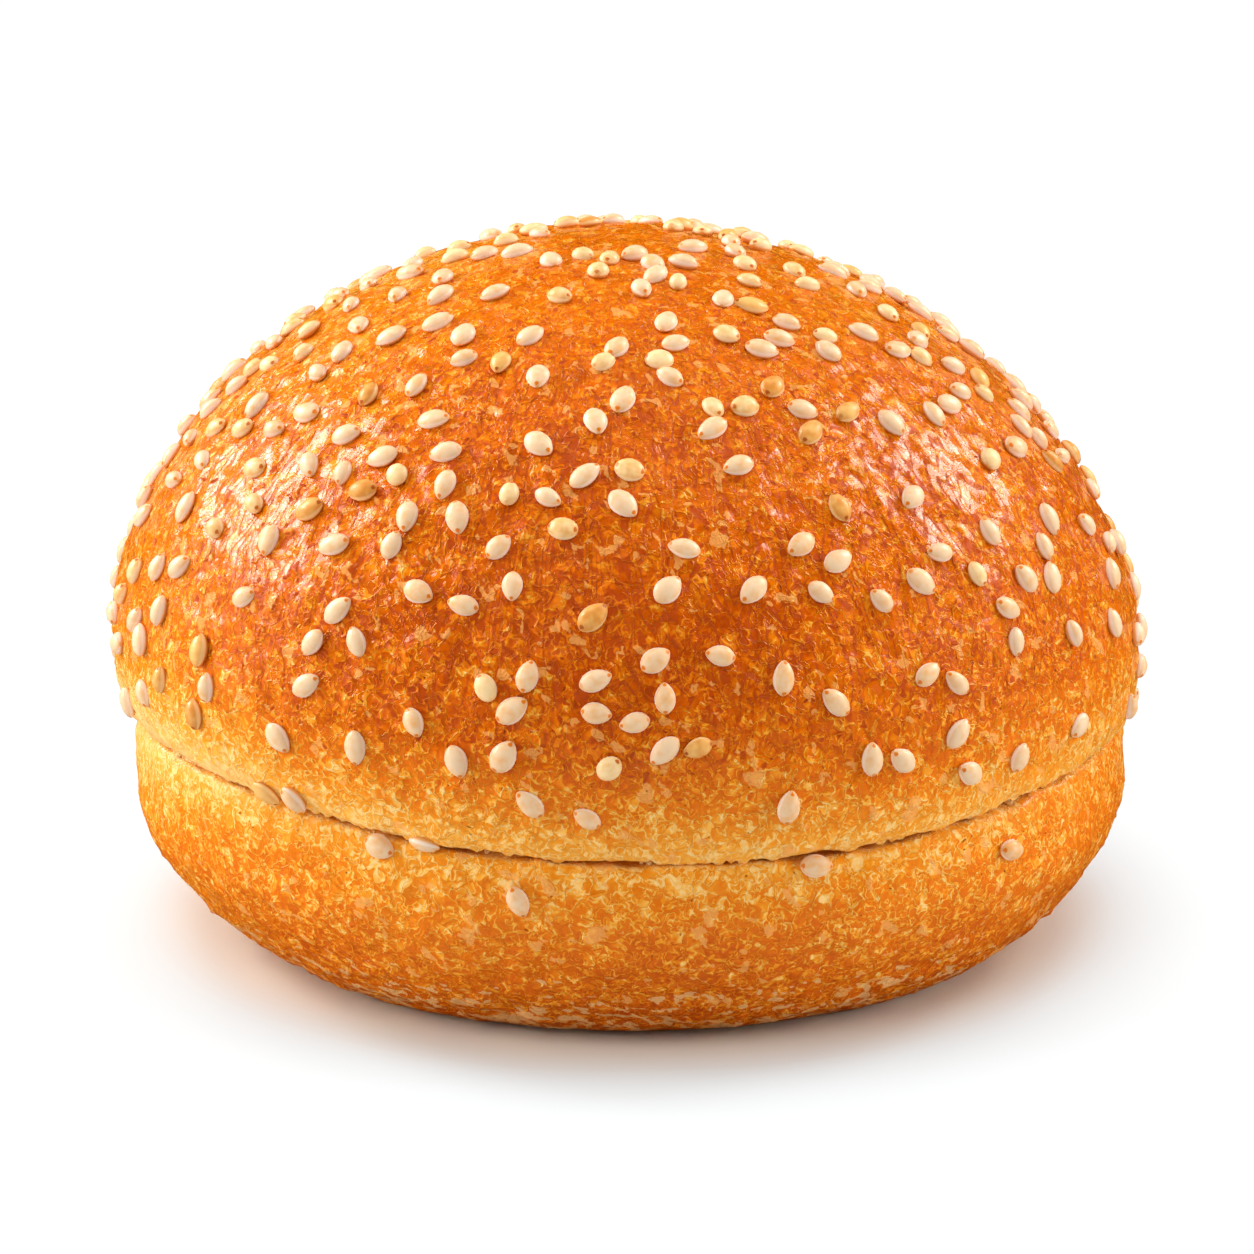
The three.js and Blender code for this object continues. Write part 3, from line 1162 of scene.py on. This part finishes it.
@dataclass(frozen=True)
class CrustShell:
    """One closed half of the crust, from a fine skin of rings to a plain face inside the bread."""

    name: str
    form: BunForm
    ragged: RaggedEdge
    baking: Baking
    patterns: CrustPatterns
    first: float
    last: float
    spacing: float = 0.5
    segments: int = 672
    fewest_segments: int = 21
    coarse_inside: float = 26.0
    lip_rings: tuple[float, ...] = (-0.75, -0.5, -0.25, -0.12, 0.0, 0.12, 0.25, 0.5)
    lip_room: float = 0.2
    plug_shares: tuple[float, ...] = (0.66, 0.33, 0.0)
    bump_height: float = 0.7
    bump_per_mm: float = 0.4
    mottle_height: float = 0.25
    mottle_shade: float = 0.3
    mottle_per_mm: float = 0.5
    mottle_twist: float = 0.6
    cloud_shade: float = 0.3
    cloud_per_mm: float = 0.08
    blister_height: float = 0.2
    flake_height: float = 0.1
    raised_flake: Span = (0.6, 0.66)
    low_flour: float = 0.3
    undulation: float = 0.8
    undulation_per_mm: float = 0.14

    def _stations(self) -> np.ndarray:
        """Stations of the rings, evenly spaced along the section and closer at the lip."""
        stations, lengths = self.form.length_table()
        start, end, lip = np.interp([self.first, self.last, LIP], stations, lengths)
        even = np.linspace(start, end, int((end - start) / self.spacing) + 1)
        near_lip = lip + np.array(self.lip_rings if start < lip < end else ())
        clear = np.abs(even[:, None] - near_lip[None]).min(1, initial=np.inf) > self.lip_room
        clear[0] = True
        clear[-1] = True
        return np.interp(np.sort(np.concatenate([even[clear], near_lip])), lengths, stations)

    def _ring_size(self, station: float) -> int:
        """How many points a ring has: one at the top, and half as many each time that it is half as wide."""
        if station <= 0:
            return 1
        radius = float(self.form.section(np.array([station]), np.array([0.0]))[0][0])
        size = self.segments
        edge = self.coarse_inside
        while radius < edge and size > self.fewest_segments:
            size //= 2
            edge /= 2
        return size

    def _ring(self, station: float) -> Ring:
        """The ring of the skin at one station."""
        size = self._ring_size(station)
        azimuths = np.arange(size) * TURN / size
        points = self.form.skin(station, azimuths)
        points[:, 2] -= self.ragged.drop(azimuths) * self.ragged.share(station)
        return Ring(station, azimuths, points)

    def _plug(self, edge: Ring) -> list[Ring]:
        """The rings of the plain face inside an edge, or none where the edge is a point."""
        return [edge.drawn_in(share) for share in self.plug_shares] if len(edge.points) > 1 else []

    def _mesh(self) -> bpy.types.Mesh:
        """The smooth shell, before its relief."""
        skin = [self._ring(station) for station in self._stations()]
        rings = self._plug(skin[0])[::-1] + skin + self._plug(skin[-1])
        stations = np.concatenate([np.full(len(ring.points), ring.station) for ring in rings])
        azimuths = np.concatenate([ring.azimuths for ring in rings])
        points = np.concatenate([ring.points for ring in rings])
        attributes = self.baking.attributes(self.form, stations, azimuths, points)
        faces = self._faces([len(ring.points) for ring in rings])
        return plain_mesh(self.name, points, faces, **attributes)

    @staticmethod
    def _faces(sizes: Sequence[int]) -> list[tuple[int, ...]]:
        """Faces between rings, also where one ring has twice the other's points.

        Args:
            sizes: How many points each ring has, from the top down.

        Returns:
            The corners of each face, turned outwards.
        """
        faces: list[tuple[int, ...]] = []
        upper = 0
        for above, below in zip(sizes[:-1], sizes[1:]):
            lower = upper + above
            for i in range(max(above, below)):
                j = (i + 1) % max(above, below)
                if above == 1:
                    faces.append((upper, lower + i, lower + j))
                elif below == 1:
                    faces.append((upper + i, lower, upper + j))
                elif above == below:
                    faces.append((upper + i, lower + i, lower + j, upper + j))
                else:
                    near = upper + (i // 2) % above
                    far = upper + (i // 2 + 1) % above
                    if i % 2 == 0:
                        faces.append((near, lower + i, lower + j))
                    else:
                        faces.append((near, lower + i, far))
                        faces.append((far, lower + i, lower + j))
            upper = lower
        return faces

    def build(self, material: bpy.types.Material) -> None:
        """Builds the shell, raises its relief and stores what its finish reads.

        Args:
            material: The finish.
        """
        nodes = ShapeNodes(f"{self.name}_relief")
        bump = nodes.size("Bump height", self.bump_height)
        blister = nodes.size("Blister height", self.blister_height)
        flake = nodes.size("Flake height", self.flake_height)
        undulation = nodes.size("Undulation", self.undulation)
        mottle_height = nodes.size("Mottle height", self.mottle_height)
        mottle_shade = nodes.size("Mottle shade", self.mottle_shade)
        cloud_shade = nodes.size("Cloud shade", self.cloud_shade)

        rest = nodes.stored("rest", "FLOAT_VECTOR")
        mottle = nodes.noise(rest, self.mottle_per_mm, 2.0, self.mottle_twist) - MIDDLE
        clouds = nodes.noise(rest, self.cloud_per_mm, 2.0) - MIDDLE
        flaky = self.patterns.flakiness(nodes, rest)
        rise = self.patterns.blisters(nodes, rest) * nodes.stored("curly") * blister
        rise = rise + flaky.step(*self.raised_flake) * flake
        rise = rise + (nodes.noise(rest, self.bump_per_mm, 1.0) - MIDDLE) * bump + mottle * mottle_height
        rise = rise + (nodes.noise(rest, self.undulation_per_mm, 2.0) - MIDDLE) * undulation

        browning = nodes.stored("browning") + mottle * mottle_shade + clouds * cloud_shade
        flow = nodes.stored("flow", "FLOAT_VECTOR")
        floury = self.patterns.flouriness(nodes, rest) + nodes.stored("low") * self.low_flour
        shaded = nodes.store(nodes.geometry, "browning", browning)
        shaded = nodes.store(shaded, "broken", self.patterns.patches(nodes, rest))
        shaded = nodes.store(shaded, "flaky", flaky)
        shaded = nodes.store(shaded, "layers", self.patterns.layers(nodes, flow))
        shaded = nodes.store(shaded, "floury", floury)

        normal = nodes.add("GeometryNodeInputNormal", {}, {})
        offset = normal * (rise * nodes.stored("relief") * MM)
        raised = nodes.add("GeometryNodeSetPosition", {}, {"Geometry": shaded, "Offset": offset})
        hand_over(nodes.run(self.name, self._mesh(), raised, material))


# Seeds and crumbs

@dataclass(frozen=True)
class HulledSeed:
    """The finish of one kind of hulled sesame seed."""

    name: str
    body: Colour
    # rim_highlight is a painted highlight along the seed's upper edge, for light through its thin edge.
    rim_highlight: Colour
    # under is the golden of toasting, and also painted warm bounce light and shade on the seed's lower side.
    under: Colour
    tip: Colour
    golden: float
    streak_per_mm: float = 1.4
    streak_shade: float = 0.38
    full_gold: float = 0.9
    # Where the lower side takes the painted bounce light and shade.
    side: Span = (0.6, -0.2)
    underside_bounce_cover: float = 0.9
    edge: Span = (0.84, 0.95)
    rim_highlight_cover: float = 0.8
    lit_edge: Span = (-0.3, 0.0)
    tip_place: float = 0.85
    tail_place: float = -0.86
    tail_seeds: Span = (0.2, 0.7)
    spot: Span = (0.034, 0.012)
    spot_length: float = 1.5
    spot_width: float = 0.33
    lit_spot: Span = (-0.4, 0.0)
    roughness: float = 0.38
    streak_roughness: float = 0.2
    specular: float = 0.4

    def _spot(self, along: Signal, side: Signal, centre: float) -> Signal:
        """A dark spot just inside one tip.

        Args:
            along: How far along the seed, from -1 to 1.
            side: How far to the side, from 0 to 1.
            centre: The spot's place along the seed.

        Returns:
            1 in the spot, falling to 0 outside.
        """
        lengthwise = (along - centre) * self.spot_length
        sideways = side * self.spot_width
        return (lengthwise * lengthwise + sideways * sideways).step(*self.spot)

    def make(self) -> bpy.types.Material:
        """Builds the material."""
        nodes = ShaderNodes(self.name)
        along = nodes.attribute("along")
        side = nodes.attribute("side")
        upper = nodes.attribute("upper")
        tone = nodes.attribute("tone")
        place = nodes.add("ShaderNodeTexCoord", {}, {}, "Object") * (1 / MM)
        streaks = nodes.noise(place, self.streak_per_mm, 1.0)
        gold = (streaks - self.streak_shade + tone * self.golden).step(0.0, self.full_gold)
        # Painted highlight along the seed's upper edge.
        rim_highlight = side.step(*self.edge) * upper.step(*self.lit_edge) * self.rim_highlight_cover
        tail = self._spot(along, side, self.tail_place) * tone.step(*self.tail_seeds)
        spots = (self._spot(along, side, self.tip_place) + tail) * upper.step(*self.lit_spot)
        colour = nodes.mix(gold, self.body, self.under)
        # Painted warm bounce light and shade on the lower side of the seed.
        colour = nodes.mix(upper.step(*self.side) * self.underside_bounce_cover, colour, self.under)
        colour = nodes.mix(rim_highlight, colour, self.rim_highlight)
        return nodes.surface({
            "Base Color": nodes.mix(spots, colour, self.tip),
            "Roughness": (streaks - MIDDLE) * self.streak_roughness + self.roughness,
            "Specular IOR Level": self.specular,
        })


PALE_SEED = HulledSeed(
    name="pale_sesame",
    body=srgb(236, 202, 162),
    rim_highlight=srgb(248, 230, 210),
    under=srgb(234, 166, 88),
    tip=srgb(222, 118, 8),
    golden=0.25,
)
TOASTED_SEED = HulledSeed(
    name="toasted_sesame",
    body=srgb(238, 184, 104),
    rim_highlight=srgb(247, 210, 146),
    under=srgb(214, 132, 44),
    tip=srgb(170, 80, 14),
    golden=0.5,
)
ROUND_SEED = HulledSeed(
    name="round_sesame",
    body=srgb(246, 212, 156),
    rim_highlight=srgb(250, 226, 178),
    under=srgb(230, 162, 76),
    tip=srgb(196, 100, 20),
    golden=0.4,
)


@dataclass(frozen=True)
class SeedMix:
    """How the kinds of seed are dealt out, with more round ones towards the top."""

    toasted: float = 0.09
    up_to_round: float = 0.2
    more_round: float = 0.8
    round_above: float = 0.55
    random_start: int = 99

    def deal(self, places: Sequence[SeedPlace]) -> dict[SeedKind, list[SeedPlace]]:
        """Gives each seed a kind.

        Args:
            places: Every seed's place.

        Returns:
            The places of each kind.
        """
        draw = random_stream(self.random_start)
        kinds: dict[SeedKind, list[SeedPlace]] = {kind: [] for kind in SeedKind}
        for place in places:
            pick = next(draw)
            up_to_round = self.up_to_round + self.more_round * max(self.round_above - place.station, 0.0)
            if pick < self.toasted:
                kinds[SeedKind.TOASTED].append(place)
            elif pick < up_to_round:
                kinds[SeedKind.ROUND].append(place)
            else:
                kinds[SeedKind.PALE].append(place)
        return kinds


@dataclass(frozen=True)
class SesameSeeds:
    """All seeds of one kind, each a small drop laid on the crust."""

    kind: SeedKind
    form: BunForm
    finish: HulledSeed
    length: float = 3.05
    width: float = 2.05
    thickness: float = 1.3
    pointedness: float = 0.17
    bluntness: float = 0.12
    taper: float = 0.12
    rise: float = 0.26
    tilt: float = 0.22
    lift: float = 0.16
    plumpness: float = 0.16
    thinnest: float = 1.02
    thickness_spread: float = 0.25
    heel_gold: float = 0.8
    segments: int = 12
    rings: int = 10
    random_start: int = 40

    def _cloud(self, places: Sequence[SeedPlace]) -> bpy.types.Mesh:
        """The seeds' centres, each with its turn, size and tone."""
        draw = random_stream(self.random_start)
        points, turns, sizes, tones = [], [], [], []
        for place in places:
            down, around, out = self.form.axes(place.station, place.azimuth)
            along = Matrix.Rotation(place.heading, 3, out) @ down
            tilt = Matrix.Rotation(self.tilt * (next(draw) - MIDDLE), 3, along)
            lift = Matrix.Rotation(self.lift * (next(draw) - MIDDLE), 3, out.cross(along))
            turn = lift @ tilt @ Matrix((along, out.cross(along), out)).transposed()
            plump = 1 + self.plumpness * (next(draw) - MIDDLE)
            thick = self.thinnest + self.thickness_spread * next(draw)
            points.append(self.form.skin(place.station, place.azimuth) + np.array(out) * self.rise)
            turns.append(turn.to_euler())
            sizes.append((place.size, place.size * plump, thick))
            tones.append(next(draw) + self.heel_gold * np.clip(place.station - LIP, 0, 1))
        return plain_mesh(self.kind.value, np.array(points), turn=np.array(turns),
                          size=np.array(sizes), tone=np.array(tones))

    def build(self, places: Sequence[SeedPlace]) -> None:
        """Lays the seeds.

        Args:
            places: Where they lie.
        """
        nodes = ShapeNodes(f"{self.kind.value}_tree")
        half_length = nodes.size("Half length", self.length * MM / 2)
        half_width = nodes.size("Half width", self.width * MM / 2)
        half_thickness = nodes.size("Half thickness", self.thickness * MM / 2)
        pointedness = nodes.size("Pointedness", self.pointedness)
        bluntness = nodes.size("Bluntness", self.bluntness)
        taper = nodes.size("Taper", self.taper)
        counts = {"Segments": self.segments, "Rings": self.rings}
        ball = nodes.add("GeometryNodeMeshUVSphere", {}, {**counts, "Radius": 1.0})
        across, up, along = nodes.split(nodes.add("GeometryNodeInputPosition", {}, {}))
        slim = (1.0 - along * along).larger(1e-4)
        width = across * slim ** pointedness * (1.0 - along * taper) * half_width
        place = nodes.vector(along * half_length, width, up * slim ** bluntness * half_thickness)
        ball = nodes.store(ball, "along", along)
        ball = nodes.store(ball, "side", abs(across) * slim ** -0.5)
        ball = nodes.store(ball, "upper", up)
        shaped = nodes.add("GeometryNodeSetPosition", {}, {"Geometry": ball, "Position": place})
        laid = nodes.scatter(shaped)
        log.info("%s: %d seeds", self.kind.value, len(places))
        hand_over(nodes.run(self.kind.value, self._cloud(places), laid, self.finish.make()))


@dataclass(frozen=True)
class CreaseCrumbs:
    """Torn crumb inside the crease, thick where crumb bridges it."""

    form: BunForm
    name: str = "crease_crumbs"
    count: int = 1900
    smallest: float = 0.22
    largest: float = 0.6
    flatness: float = 0.6
    highest_station: float = 2.15
    station_span: float = 0.7
    reach: float = 0.25
    sparse: float = 0.2
    torn_per_mm: float = 1.1
    strand_per_mm: float = 2.2
    strands: Span = (0.35, 0.62)
    strand_height: float = 0.2
    crumb: Colour = srgb(255, 218, 150)
    shaded: Colour = srgb(246, 184, 100)
    roughness: float = 0.8
    random_start: int = 311

    def _finish(self) -> bpy.types.Material:
        """The material of the crumb."""
        nodes = ShaderNodes("torn_crumb")
        place = nodes.add("ShaderNodeTexCoord", {}, {}, "Object") * (1 / MM)
        strands = nodes.noise(place, self.strand_per_mm, 2.0, 1.0)
        return nodes.surface({
            "Base Color": nodes.mix(strands.step(*self.strands), self.shaded, self.crumb),
            "Roughness": self.roughness,
            "Normal": nodes.bump(strands * self.strand_height),
        })

    def _cloud(self) -> bpy.types.Mesh:
        """The crumbs' centres, each with its turn and size."""
        draw = random_stream(self.random_start)
        points, turns, sizes = [], [], []
        while len(points) < self.count:
            azimuth = TURN * next(draw)
            station = self.highest_station + self.station_span * next(draw)
            chance = next(draw)
            size = self.smallest + (self.largest - self.smallest) * next(draw) ** 2
            turn = [TURN * next(draw) for _ in range(3)]
            depth = float(self.form.depth_of_crease(np.array(azimuth)))
            bridged = 1 - depth / self.form.crease_depth
            if chance < self.sparse + bridged:
                outwards = np.array([math.cos(azimuth), math.sin(azimuth), 0.0])
                points.append(self.form.skin(station, azimuth) + outwards * self.reach * next(draw))
                width = self.flatness + (1 - self.flatness) * next(draw)
                turns.append(turn)
                sizes.append((size, size * width, size * self.flatness))
        return plain_mesh(self.name, np.array(points), turn=np.array(turns), size=np.array(sizes))

    def build(self) -> None:
        """Lays the crumbs."""
        nodes = ShapeNodes(f"{self.name}_tree")
        radius = nodes.size("Radius", MM)
        ball = nodes.add("GeometryNodeMeshIcoSphere", {}, {"Radius": radius, "Subdivisions": 2})
        place = nodes.add("GeometryNodeInputPosition", {}, {})
        lumps = nodes.noise(place * (1 / MM), self.torn_per_mm, 1.0) - MIDDLE
        offset = nodes.add("GeometryNodeInputNormal", {}, {}) * (lumps * MM)
        torn = nodes.add("GeometryNodeSetPosition", {}, {"Geometry": ball, "Offset": offset})
        laid = nodes.scatter(torn)
        log.info("%s: %d crumbs", self.name, self.count)
        hand_over(nodes.run(self.name, self._cloud(), laid, self._finish()))


# Floor, light and camera

class LightUse(Enum):
    """What a softbox is there for."""

    FILL = "lights the crust and isn't mirrored in it"
    GLAZE = "is only mirrored in the glaze"


GLAZE_TINT = (1.0, 1.0, 0.94)


@dataclass(frozen=True)
class Softbox:
    """A soft light that faces the bun: its direction, distance, width, height and power."""

    name: str
    azimuth: float
    elevation: float
    distance: float
    width: float
    height: float
    watts: float
    use: LightUse = LightUse.FILL
    tint: Triple = (1.0, 1.0, 1.0)

    def build(self, target: Vector) -> None:
        """Hangs the light.

        Args:
            target: The point that it faces.
        """
        light = bpy.data.lights.new(self.name, "AREA")
        light.shape = "RECTANGLE"
        light.size = self.width
        light.size_y = self.height
        light.energy = self.watts
        light.color = self.tint
        lamp = bpy.data.objects.new(self.name, light)
        flat = math.cos(self.elevation)
        across = (flat * math.cos(self.azimuth), flat * math.sin(self.azimuth))
        away = Vector((*across, math.sin(self.elevation)))
        lamp.location = target + away * self.distance
        lamp.rotation_euler = away.to_track_quat("Z", "Y").to_euler()
        lamp.visible_glossy = self.use is LightUse.GLAZE
        lamp.visible_diffuse = self.use is LightUse.FILL
        bpy.context.scene.collection.objects.link(lamp)


@dataclass(frozen=True)
class PaleFloor:
    """The floor: lit by the lamps close to the bun, with a painted warm bounce of the bun's light next to it,
    and an even white further out.
    """

    size: float = 3.0
    warm_reach: float = 0.04
    cool_reach: float = 0.05
    shadow_reach: float = 0.037
    bright_reach: float = 0.067
    # Painted bounce light: warm next to the bun, and cooler a little further out against the pink of the
    # bun's bounce.
    warm_bounce: Colour = (0.74, 0.73, 0.64, 1.0)
    cool_against_bounce: Colour = (0.68, 0.8, 0.84, 1.0)
    unlit: Colour = (0.05, 0.05, 0.05, 1.0)
    brightness: float = 0.96
    roughness: float = 0.9
    specular: float = 0.1

    def _finish(self) -> bpy.types.Material:
        """The material of the floor, by the distance from the bun's middle."""
        nodes = ShaderNodes("pale_floor")
        place = nodes.add("ShaderNodeTexCoord", {}, {}, "Object")
        reach = nodes.add("ShaderNodeVectorMath", {"operation": "LENGTH"}, {0: place}, "Value")
        far = reach.step(self.shadow_reach, self.bright_reach)
        # Painted bounce light near the bun.
        lit = nodes.mix(reach.step(self.cool_reach, self.warm_reach), self.cool_against_bounce, self.warm_bounce)
        return nodes.surface({
            "Base Color": nodes.mix(far, lit, self.unlit),
            "Roughness": self.roughness,
            "Specular IOR Level": self.specular,
            "Emission Color": nodes.mix(far, BLACK, WHITE),
            "Emission Strength": self.brightness,
        })

    def build(self) -> None:
        """Lays the floor."""
        half = self.size / 2 / MM
        corners = np.array([(-half, -half, 0), (half, -half, 0), (half, half, 0), (-half, half, 0)])
        floor = bpy.data.objects.new("floor", plain_mesh("floor", corners, [(0, 1, 2, 3)]))
        floor.data.materials.append(self._finish())
        floor.visible_glossy = False
        bpy.context.scene.collection.objects.link(floor)


@dataclass(frozen=True)
class WhiteBackdrop:
    """A white dome behind everything, which only the camera sees."""

    radius: float = 1.45
    segments: int = 48
    rings: int = 24

    def build(self) -> None:
        """Hangs the dome."""
        mesh = bpy.data.meshes.new("backdrop")
        shape = bmesh.new()
        counts = {"u_segments": self.segments, "v_segments": self.rings}
        bmesh.ops.create_uvsphere(shape, radius=self.radius, **counts)
        shape.to_mesh(mesh)
        shape.free()
        white = {"Base Color": BLACK, "Emission Color": WHITE, "Emission Strength": 1.0}
        mesh.materials.append(ShaderNodes("white_backdrop").surface(white))
        dome = bpy.data.objects.new("backdrop", mesh)
        dome.visible_diffuse = False
        dome.visible_glossy = False
        dome.visible_shadow = False
        bpy.context.scene.collection.objects.link(dome)


@dataclass(frozen=True)
class Studio:
    """The pale floor, the soft light and the camera."""

    floor: PaleFloor = PaleFloor()
    backdrop: WhiteBackdrop = WhiteBackdrop()
    distance: float = 0.41
    elevation: float = 16.0 * DEGREE
    aim: Triple = (-0.00035, 0.0, 0.0283)
    pixels_per_mm: float = 10.18
    image_pixels: float = 1254.0
    sensor: float = 36.0
    nearest: float = 0.01
    surround: float = 0.2
    softboxes: tuple[Softbox, ...] = (
        Softbox("left_glaze", 158 * DEGREE, 31 * DEGREE, 0.7, 0.32, 0.28, 4.8, LightUse.GLAZE, GLAZE_TINT),
        Softbox("right_glaze", 23 * DEGREE, 37 * DEGREE, 0.7, 0.24, 0.28, 3.2, LightUse.GLAZE, GLAZE_TINT),
        Softbox("left_key", 153 * DEGREE, 28 * DEGREE, 0.7, 0.22, 0.22, 2.7),
        Softbox("right_key", 23 * DEGREE, 37 * DEGREE, 0.7, 0.22, 0.22, 1.5),
        Softbox("left_bounce", 184 * DEGREE, 12 * DEGREE, 0.9, 0.6, 0.5, 6.8),
        Softbox("right_bounce", -4 * DEGREE, 12 * DEGREE, 0.9, 0.6, 0.5, 5.7),
        Softbox("overhead", 90 * DEGREE, 78 * DEGREE, 0.9, 1.0, 0.8, 7.2),
        Softbox("front_key", 252 * DEGREE, 42 * DEGREE, 0.9, 0.5, 0.4, 2.2),
    )

    def _surround(self) -> None:
        """Gives the room a dim even light."""
        world = bpy.data.worlds.new("surround")
        world.use_nodes = True
        background = world.node_tree.nodes["Background"]
        background.inputs["Strength"].default_value = self.surround
        background.inputs["Color"].default_value = WHITE
        world.cycles_visibility.glossy = False
        bpy.context.scene.world = world

    def _camera(self) -> None:
        """Sets the camera at the photograph's angle."""
        camera = bpy.data.objects.new("camera", bpy.data.cameras.new("camera"))
        focal_pixels = self.pixels_per_mm * self.distance / MM
        camera.data.sensor_width = self.sensor
        camera.data.lens = self.sensor * focal_pixels / self.image_pixels
        camera.data.clip_start = self.nearest
        away = Vector((0, -math.cos(self.elevation), math.sin(self.elevation)))
        camera.location = Vector(self.aim) + away * self.distance
        camera.rotation_euler = away.to_track_quat("Z", "Y").to_euler()
        bpy.context.scene.collection.objects.link(camera)
        bpy.context.scene.camera = camera

    def build(self) -> None:
        """Sets up the floor, the light and the camera."""
        self.floor.build()
        self.backdrop.build()
        self._surround()
        self._camera()
        for softbox in self.softboxes:
            softbox.build(Vector(self.aim))
        bpy.context.scene.view_settings.view_transform = "Standard"
        bpy.context.scene.view_settings.look = "None"


def main() -> None:
    """Builds the crust, the crumbs, the seeds and the studio, in that order."""
    logging.basicConfig(level=logging.INFO, format="%(message)s")
    form = BunForm()
    patterns = CrustPatterns()
    crust = BakedCrust(patterns).make()
    halves = {"crown_crust": (0.0, CREASE), "heel_crust": (CREASE, BASE_EDGE)}
    for name, (first, last) in halves.items():
        CrustShell(name, form, RaggedEdge(), Baking(), patterns, first, last).build(crust)
    CreaseCrumbs(form).build()
    kinds = SeedMix().deal(SeedScatter(form).places())
    round_shape = {"length": 2.65, "width": 2.1, "pointedness": 0.04, "taper": 0.04}
    SesameSeeds(SeedKind.PALE, form, PALE_SEED).build(kinds[SeedKind.PALE])
    SesameSeeds(SeedKind.TOASTED, form, TOASTED_SEED).build(kinds[SeedKind.TOASTED])
    SesameSeeds(SeedKind.ROUND, form, ROUND_SEED, **round_shape).build(kinds[SeedKind.ROUND])
    Studio().build()


if __name__ == "__main__":
    main()
